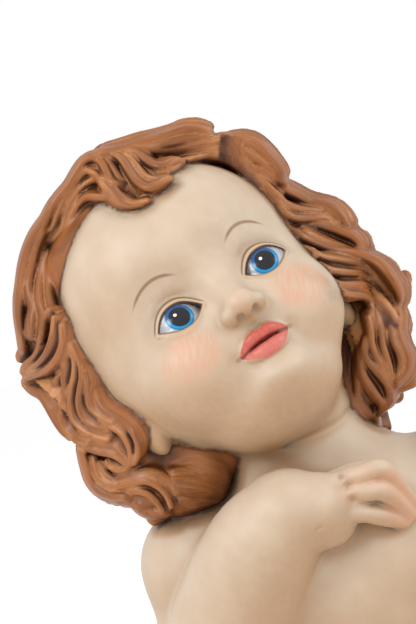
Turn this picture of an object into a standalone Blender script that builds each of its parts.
"""Bust of a child with curled hair, the right hand laid on the chest: one painted, hollow-cast piece.

Metres, +Z up. The figure faces -Y and its right side is -X. The underside is flat, at Z = 0, and the
origin lies on it, under the middle of the chest. Below, a share is a hundredth of the head's height, and
most of the figure's places and thicknesses are given in shares, as a carver sets a figure out in heads.
"""

import math

import bmesh
import bpy
from mathutils import Matrix, Vector

# Driving sizes, in metres
HEAD_HEIGHT = 0.138  # chin to crown, without the hair
PIT_HEIGHT = 0.090  # from the flat underside to the pit of the neck
SHOULDER_WIDTH = 0.181  # across both shoulders
CHEST_DEPTH = 0.099
CHEST_WIDTH = 0.130
NECK_WIDTH = 0.070
HAIR_DEPTH = 0.0064  # from the scalp to the middle of a lock
LOCK_WIDTH = 0.0165  # of a full lock, at its widest

# The head's pose on the neck, in degrees
HEAD_LEAN = 22.0  # to the figure's right
HEAD_LIFT = 20.0  # chin up
HEAD_YAW = 15.0  # towards the figure's left

# Fineness of the solid
SKIN_VOXEL = 0.0024
HAIR_VOXEL = 0.0019
JOIN_VOXEL = 0.0018
TRIANGLES = 8600

SHARE = HEAD_HEIGHT / 100
PIT = PIT_HEIGHT / SHARE  # the pit's height in shares
SHOULDER = SHOULDER_WIDTH / SHARE / 2
CHEST = CHEST_WIDTH / SHARE / 2
DEPTH = CHEST_DEPTH / SHARE / 2
NECK = NECK_WIDTH / SHARE / 2
LIFT = HAIR_DEPTH / SHARE
LOCK = LOCK_WIDTH / SHARE / 2

# Frames: both take shares and give metres. The body's starts at the pit's height, on the mid-line.
BODY = Matrix.Scale(SHARE, 4) @ Matrix.Translation((0, 0, PIT))
HEAD = (
    BODY
    @ Matrix.Translation((-21.5, -4, 58.5))
    @ Matrix.Rotation(math.radians(-HEAD_LEAN), 4, "Y")
    @ Matrix.Rotation(math.radians(-HEAD_LIFT), 4, "X")
    @ Matrix.Rotation(math.radians(HEAD_YAW), 4, "Z")
)

# The scalp, an ellipsoid in the head's frame: the middle of the head's height is its zero
SCALP_PLACE = Vector((0, 8.5, 10))
SCALP_RADII = Vector((42.5, 51, 40.5))
BOTH_SIDES = (-1, 1)


def clear_scene():
    for old in list(bpy.data.objects):
        bpy.data.objects.remove(old, do_unlink=True)


def ball(clay, frame, place, radii):
    """An ellipsoid added to the clay."""
    size = Matrix.Diagonal((*radii, 1)) if isinstance(radii, tuple) else Matrix.Scale(radii, 4)
    matrix = frame @ Matrix.Translation(place) @ size
    bmesh.ops.create_uvsphere(clay, u_segments=24, v_segments=14, radius=1, matrix=matrix)


def limb(clay, frame, points):
    """A round bar along a smooth curve through points of (x, y, z, radius), with round ends."""
    curve = bpy.data.curves.new("limb", "CURVE")
    curve.dimensions = "3D"
    curve.bevel_depth = 1
    curve.bevel_resolution = 3
    curve.resolution_u = 5
    curve.use_fill_caps = True
    spline = curve.splines.new("BEZIER")
    spline.bezier_points.add(len(points) - 1)
    for knot, (x, y, z, radius) in zip(spline.bezier_points, points):
        knot.co = (x, y, z)
        knot.radius = radius
        knot.handle_left_type = knot.handle_right_type = "AUTO"
    bar = bpy.data.objects.new("limb", curve)
    bpy.context.scene.collection.objects.link(bar)
    graph = bpy.context.evaluated_depsgraph_get()
    mesh = bpy.data.meshes.new_from_object(bar.evaluated_get(graph))
    mesh.transform(frame)
    welded = bmesh.new()
    welded.from_mesh(mesh)
    bmesh.ops.remove_doubles(welded, verts=welded.verts, dist=1e-6)
    welded.to_mesh(mesh)
    welded.free()
    clay.from_mesh(mesh)
    bpy.data.objects.remove(bar)
    bpy.data.curves.remove(curve)
    bpy.data.meshes.remove(mesh)
    for x, y, z, radius in (points[0], points[-1]):
        ball(clay, frame, (x, y, z), radius)


def set_clay(name, clay, voxel, smoothing):
    """The clay's overlapping shapes grown together into one skin, smoothed by so many passes."""
    mesh = bpy.data.meshes.new(name)
    clay.to_mesh(mesh)
    clay.free()
    lump = bpy.data.objects.new(name, mesh)
    bpy.context.scene.collection.objects.link(lump)
    remesh = lump.modifiers.new("one skin", "REMESH")
    remesh.mode = "VOXEL"
    remesh.voxel_size = voxel
    smooth = lump.modifiers.new("smoothing", "SMOOTH")
    smooth.factor = 0.5
    smooth.iterations = smoothing
    graph = bpy.context.evaluated_depsgraph_get()
    made = bpy.data.meshes.new_from_object(lump.evaluated_get(graph))
    bpy.data.objects.remove(lump)
    bpy.data.meshes.remove(mesh)
    return made


def press(mesh, frame, place, radii, depth):
    """A soft hollow, or with a negative depth a soft swelling, pressed into the skin."""
    to_clay = (frame @ Matrix.Translation(place) @ Matrix.Diagonal((*radii, 1))).inverted()
    reach = 2.5
    moves = []
    for vertex in mesh.vertices:
        local = to_clay @ vertex.co
        if local.length_squared < reach**2:
            fall = math.exp(-local.length_squared / 2)
            moves.append((vertex, vertex.normal * (depth * SHARE * fall)))
    for vertex, move in moves:
        vertex.co -= move


def on_scalp(turn, height, lift):
    """A point of the head's frame over the scalp. turn is 0 in front and 90 at the figure's left ear."""
    rise = min((height - SCALP_PLACE.z) / SCALP_RADII.z, 0.995)
    ring = math.sqrt(1 - rise**2) if rise > 0 else 1 - 0.12 * rise**2
    angle = math.radians(turn)
    out = Vector((math.sin(angle) * ring, -math.cos(angle) * ring, max(rise, 0)))
    base = SCALP_PLACE + Vector((SCALP_RADII.x * out.x, SCALP_RADII.y * out.y, 0))
    base.z = height
    normal = Vector(out[i] / SCALP_RADII[i] for i in range(3)).normalized()
    return base + normal * lift


def lock(clay, route, width=1.0, root=0.7):
    """A lock of hair over the scalp through rows of (turn, height, lift), slimmer at its root and tip."""
    points = []
    for n, (turn, height, lift) in enumerate(route):
        place = on_scalp(turn, height, lift * LIFT / 4.3 - 1.5)
        along = n / (len(route) - 1)
        shape = min(1, root + 1.8 * along, 0.42 + 1.5 * (1 - along))
        points.append((*place, LOCK * width * shape))
    limb(clay, HEAD, points)


def torso(clay):
    """Chest, shoulders, neck and both arms. The elbows are cut off by the flat underside."""
    ball(clay, BODY, (0, 3, -40), (CHEST, DEPTH, 48))
    ball(clay, BODY, (0, 4, -16), (SHOULDER * 0.72, DEPTH * 0.62, 19))
    for side in BOTH_SIDES:
        shoulder_x = side * (SHOULDER - 21.5)
        ball(clay, BODY, (shoulder_x, 4, -21), 21.5)
        ball(clay, BODY, (side * CHEST * 0.4, -DEPTH * 0.42, -30), (19, 17, 20))
    right = SHOULDER - 21.5
    limb(clay, BODY, [(-right, 4, -21, 20.5), (-right - 2, 4, -42, 20), (-right - 4, 0, -72, 20)])
    limb(clay, BODY, [(right, 4, -21, 20.5), (right + 3, 4, -42, 19), (right + 3, 3, -72, 19)])
    limb(clay, BODY, [(0, 4, -22, NECK * 1.25), (-3, 3, 0, NECK), (-6, 3, 20, NECK * 0.98), (-12, 2, 36, NECK)])


# The fingers of the right hand, in the body's frame: (x, y, z, radius) from knuckle to tip
FINGERS = {
    "index": [(-2, -31, -6, 4.0), (9, -33.5, -4.0, 3.4), (17, -33, -5.4, 3.3), (22, -29, -13, 2.7)],
    "middle": [(0, -35, -6, 4.2), (12, -39.5, -4.6, 3.4), (18.6, -39, -5.6, 3.4), (24.6, -31.5, -18, 2.6)],
    "ring": [(1, -36, -9.5, 4.2), (11.5, -40, -9.9, 3.4), (17, -39.5, -12, 3.4), (23, -31.5, -21.8, 2.6)],
    "little": [(0, -35, -14.5, 4.4), (8.5, -38, -15.9, 3.5), (13.8, -37.5, -18.8, 3.3), (20.4, -32, -23.2, 2.6)],
}


def forearm(clay):
    limb(
        clay,
        BODY,
        [
            (-50, -6, -70, 23),
            (-43, -13, -48, 23),
            (-34, -21, -32, 21.2),
            (-25, -28, -19, 18.8),
            (-15, -32, -10.5, 15.2),
        ],
    )


def hand(clay):
    limb(clay, BODY, [(-13, -33, -10, 13.6), (-5, -34, -11, 11.5)])
    ball(clay, BODY, (-2.5, -34, -13), (10.5, 8.2, 11.5))
    for points in FINGERS.values():
        limb(clay, BODY, points)


def head_forms(clay):
    """Skull, forehead, cheeks, jaw and chin."""
    ball(clay, HEAD, SCALP_PLACE, tuple(SCALP_RADII))
    ball(clay, HEAD, (0, -15, 16), (33, 28, 28))
    ball(clay, HEAD, (0, -9, -16), (36.5, 33, 33))
    ball(clay, HEAD, (0, -31, -42.5), (9.5, 9, 8.5))
    ball(clay, HEAD, (0, -12, -43), (22, 22, 12))
    for side in BOTH_SIDES:
        ball(clay, HEAD, (side * 17.5, -22.5, -25), (16, 14.2, 15))


def features(clay):
    """Nose, lips, eyes with their lids, and the lobes of the ears."""
    limb(clay, HEAD, [(0, -37.8, -4, 3.8), (0, -40.6, -14, 3.9), (0, -44.4, -21, 4.4)])
    limb(clay, HEAD, [(-9.5, -34.5, -33, 1.4), (-4, -38.6, -31.6, 2.8), (4, -38.6, -31.6, 2.8), (9.5, -34.5, -33, 1.4)])
    limb(clay, HEAD, [(-7, -35, -35, 1.4), (0, -37.6, -36.4, 3.0), (7, -35, -35, 1.4)])
    for side in BOTH_SIDES:
        ball(clay, HEAD, (side * 5.2, -41.4, -22.6), 3.0)
        ball(clay, HEAD, (side * 16.5, -29.8, -12), 10.2)
        ball(clay, HEAD, (side * 39.5, 2, -24), (4.5, 6.5, 9.5))


def shape_face(mesh):
    """The sockets of the eyes, the sides of the nose, and the parting under the lower lip."""
    press(mesh, HEAD, (0, -39, -41), (6, 5, 2.2), 1.4)
    for side in BOTH_SIDES:
        press(mesh, HEAD, (side * 8.5, -38.5, -8), (3.6, 6, 5), 1.6)
        press(mesh, HEAD, (side * 17, -38, -2.5), (8, 7, 2.6), 0.9)


# Locks that frame the face: rows of (turn, height, lift), from root to tip, and a width
FACE_LOCKS = [
    ([(4, 45, 8), (-24, 45, 9), (-54, 43, 8), (-62, 41, 6), (-40, 35, 5), (-46, 46, 5)], 1.25),
    ([(4, 45, 8), (4, 50, 11), (-14, 29, 8), (-8, 23, 6), (2, 23, 6), (12, 26, 4)], 1.1),
    ([(12, 44, 8), (0, 29, 8), (6, 26, 6), (26, 30, 5)], 1.0),
    ([(18, 43, 8), (36, 39, 10), (46, 34, 9), (54, 29, 6)], 1.1),
    ([(54, 29, 4), (58, 23, 10), (50, 11, 10)], 1.1),
    ([(76, 27, 4), (58, 3, 6), (70, 2, 10), (70, -5, 12)], 1.15),
    ([(68, 38, 5), (80, 24, 8), (76, 10, 8), (86, -6, 9)], 1.0),
    ([(58, 4, 3), (64, -8, 8), (70, -13, 12)], 1.0),
    ([(60, -9, 3), (72, -16, 8), (74, -27, 12), (70, -41, 12), (86, -40, 12)], 1.1),
    ([(74, -25, 5), (78, -35, 9), (78, -48, 11), (96, -50, 11)], 1.1),
    ([(88, -38, 8), (92, -48, 11), (100, -55, 8), (114, -57, 7)], 1.05),
    ([(-62, 41, 4), (-76, 36, 8), (-88, 30, 9), (-92, 22, 12)], 1.2),
    ([(-64, 41, 3), (-60, 23, 5), (-64, 13, 6), (-84, 17, 10), (-96, 18, 11)], 1.1),
    ([(-66, 40, 5), (-76, 28, 7), (-78, 16, 6), (-92, 8, 8)], 1.1),
    ([(-84, 44, 6), (-80, 35, 8), (-88, 24, 8), (-98, 15, 8)], 1.15),
    ([(-112, 44, 6), (-104, 34, 8), (-106, 24, 9), (-114, 12, 10)], 1.15),
    ([(-72, 13, 3), (-86, 6, 8), (-106, 0, 10), (-82, -19, 9), (-78, -27, 8), (-106, -22, 8)], 1.2),
    ([(-104, -4, 8), (-108, -18, 10), (-104, -34, 10), (-74, -46, 8)], 1.2),
    ([(-102, 11, 10), (-104, 1, 11), (-106, -12, 11)], 1.1),
    ([(-106, -35, 2), (-80, -49, 3), (-68, -50, 2)], 1.1),
]
WHORL = Vector((0, 0.5, 0.87))  # the way from the scalp's middle to the whorl on the crown
REAR_LOCKS = 13
REAR_FROM, REAR_TO = 84, 256  # the turns that they hang at, past both ears
REAR_WAVES = 2.1  # from crown to tip
SWING = 0.14  # of a lock to either side, as an angle
HANG_FROM = 8  # the height from which the rear locks hang straight down
TOP_LOCKS = 4  # to each side
TOP_LIFT = 6.5


def hair_end(turn):
    """The height that the hair hangs to: lower at the figure's left, as the right side meets the shoulder."""
    return -47 - 9 * math.sin(math.radians(turn))


def fullness(turn, height):
    """How far the hair stands off the scalp: fuller at the sides, most of all below the ears."""
    side = abs(math.sin(math.radians(turn)))
    return 6 + side * (2.5 + 4.5 * math.exp(-(((height + 40) / 17) ** 2)))


def over_crown(turn, height, along, sway):
    """A turn and height part of the way from the whorl over the scalp to an end, swayed to one side."""
    rise = (height - SCALP_PLACE.z) / SCALP_RADII.z
    ring = math.sqrt(1 - rise**2)
    angle = math.radians(turn)
    start = WHORL.normalized()
    end = Vector((math.sin(angle) * ring, -math.cos(angle) * ring, rise))
    way = (start.slerp(end, along) + start.cross(end).normalized() * sway).normalized()
    return math.degrees(math.atan2(way.x, -way.y)) % 360, SCALP_PLACE.z + SCALP_RADII.z * way.z


def rear_lock(number):
    """A long waving lock from the whorl to the hem of the hair, its tip flipped out."""
    hang = REAR_FROM + (REAR_TO - REAR_FROM) * number / (REAR_LOCKS - 1)
    end = hair_end(hang) + 3 * math.sin(2.4 * number)
    steps = 13
    over = 6  # the steps that lie over the crown
    route = []
    for n in range(steps):
        phase = 2 * math.pi * (REAR_WAVES * n / (steps - 1) + 0.09 * number)
        sway = SWING * math.sin(phase) * min(1, n / 3)
        if n < over:
            turn, height = over_crown(hang, HANG_FROM, n / over, sway)
        else:
            turn = hang + math.degrees(sway)
            height = HANG_FROM + (end - HANG_FROM) * (n - over) / (steps - 1 - over)
        flip = 4 if n == steps - 1 else 0
        route.append((turn, height, fullness(turn, height) - 1 + 1.8 * math.cos(phase) + flip))
    return route


def top_lock(side, number):
    """A lock from the whorl forwards over the top of the head, to the hair that frames the face."""
    steps = 7
    route = []
    for n in range(steps):
        along = n / (steps - 1)
        phase = 2 * math.pi * (1.1 * along + 0.3 * number)
        end_turn = side * (8 + 24 * number)
        turn, height = over_crown(end_turn, 44 - 4 * number, along, 0.5 * SWING * math.sin(phase))
        route.append((turn, height, TOP_LIFT + 1.2 * math.cos(phase)))
    return route


def hair_forms(clay):
    """The full cap of hair under the locks, then the locks."""
    ball(clay, HEAD, (0, 10.5, 11.5), (45.5, 51.5, 42))
    ball(clay, HEAD, (0, 15, -14), (43.5, 41, 38))
    ball(clay, HEAD, (-32, 18, -6), (15, 21, 28))
    ball(clay, HEAD, (32, 16, -16), (14, 18, 32))
    ball(clay, HEAD, (26, 19, -46), (9, 11, 13))
    for side in BOTH_SIDES:
        ball(clay, HEAD, (side * 23, 21, -35), (16, 17, 17))
    for route, width in FACE_LOCKS:
        lock(clay, route, width)
    for number in range(REAR_LOCKS):
        lock(clay, rear_lock(number), 1.0, 0.4)
    for side in BOTH_SIDES:
        for number in range(TOP_LOCKS):
            lock(clay, top_lock(side, number), 1.15, 0.4)


def cut_flat(mesh):
    """Cuts the solid flat at Z = 0 and closes the cut."""
    solid = bmesh.new()
    solid.from_mesh(mesh)
    everything = solid.verts[:] + solid.edges[:] + solid.faces[:]
    bmesh.ops.bisect_plane(
        solid, geom=everything, dist=1e-6, plane_co=(0, 0, 0), plane_no=(0, 0, 1), clear_inner=True
    )
    rim = [edge for edge in solid.edges if edge.is_boundary]
    bmesh.ops.holes_fill(solid, edges=rim, sides=0)
    solid.to_mesh(mesh)
    solid.free()


def paint():
    """The skin's paint, satin over cast resin."""
    made = bpy.data.materials.new("painted_resin")
    made.use_nodes = True
    shader = made.node_tree.nodes["Principled BSDF"]
    shader.inputs["Base Color"].default_value = (0.62, 0.47, 0.34, 1)
    shader.inputs["Roughness"].default_value = 0.45
    shader.inputs["Metallic"].default_value = 0
    return made


def build_bust():
    skin_clay = bmesh.new()
    torso(skin_clay)
    forearm(skin_clay)
    head_forms(skin_clay)
    skin = set_clay("skin", skin_clay, SKIN_VOXEL, 7)
    hair_clay = bmesh.new()
    hair_forms(hair_clay)
    hair = set_clay("hair", hair_clay, HAIR_VOXEL, 2)
    detail_clay = bmesh.new()
    features(detail_clay)
    hand(detail_clay)
    whole = bmesh.new()
    whole.from_mesh(skin)
    whole.from_mesh(hair)
    details = bpy.data.meshes.new("details")
    detail_clay.to_mesh(details)
    detail_clay.free()
    whole.from_mesh(details)
    joined = set_clay("joined", whole, JOIN_VOXEL, 2)
    shape_face(joined)
    for used in (skin, hair, details):
        bpy.data.meshes.remove(used)

    draft = bpy.data.objects.new("draft", joined)
    bpy.context.scene.collection.objects.link(draft)
    fewer = draft.modifiers.new("fewer faces", "DECIMATE")
    fewer.ratio = TRIANGLES / (2 * len(joined.polygons))
    fewer.use_collapse_triangulate = True
    graph = bpy.context.evaluated_depsgraph_get()
    mesh = bpy.data.meshes.new_from_object(draft.evaluated_get(graph))
    bpy.data.objects.remove(draft)
    bpy.data.meshes.remove(joined)

    cut_flat(mesh)
    mesh.name = "child_bust"
    mesh.shade_smooth()
    mesh.materials.clear()
    mesh.materials.append(paint())
    bust = bpy.data.objects.new("child_bust", mesh)
    parts = bpy.data.collections.new("child bust")
    bpy.context.scene.collection.children.link(parts)
    parts.objects.link(bust)
    print("child_bust:", len(mesh.polygons), "faces")


clear_scene()
build_bust()
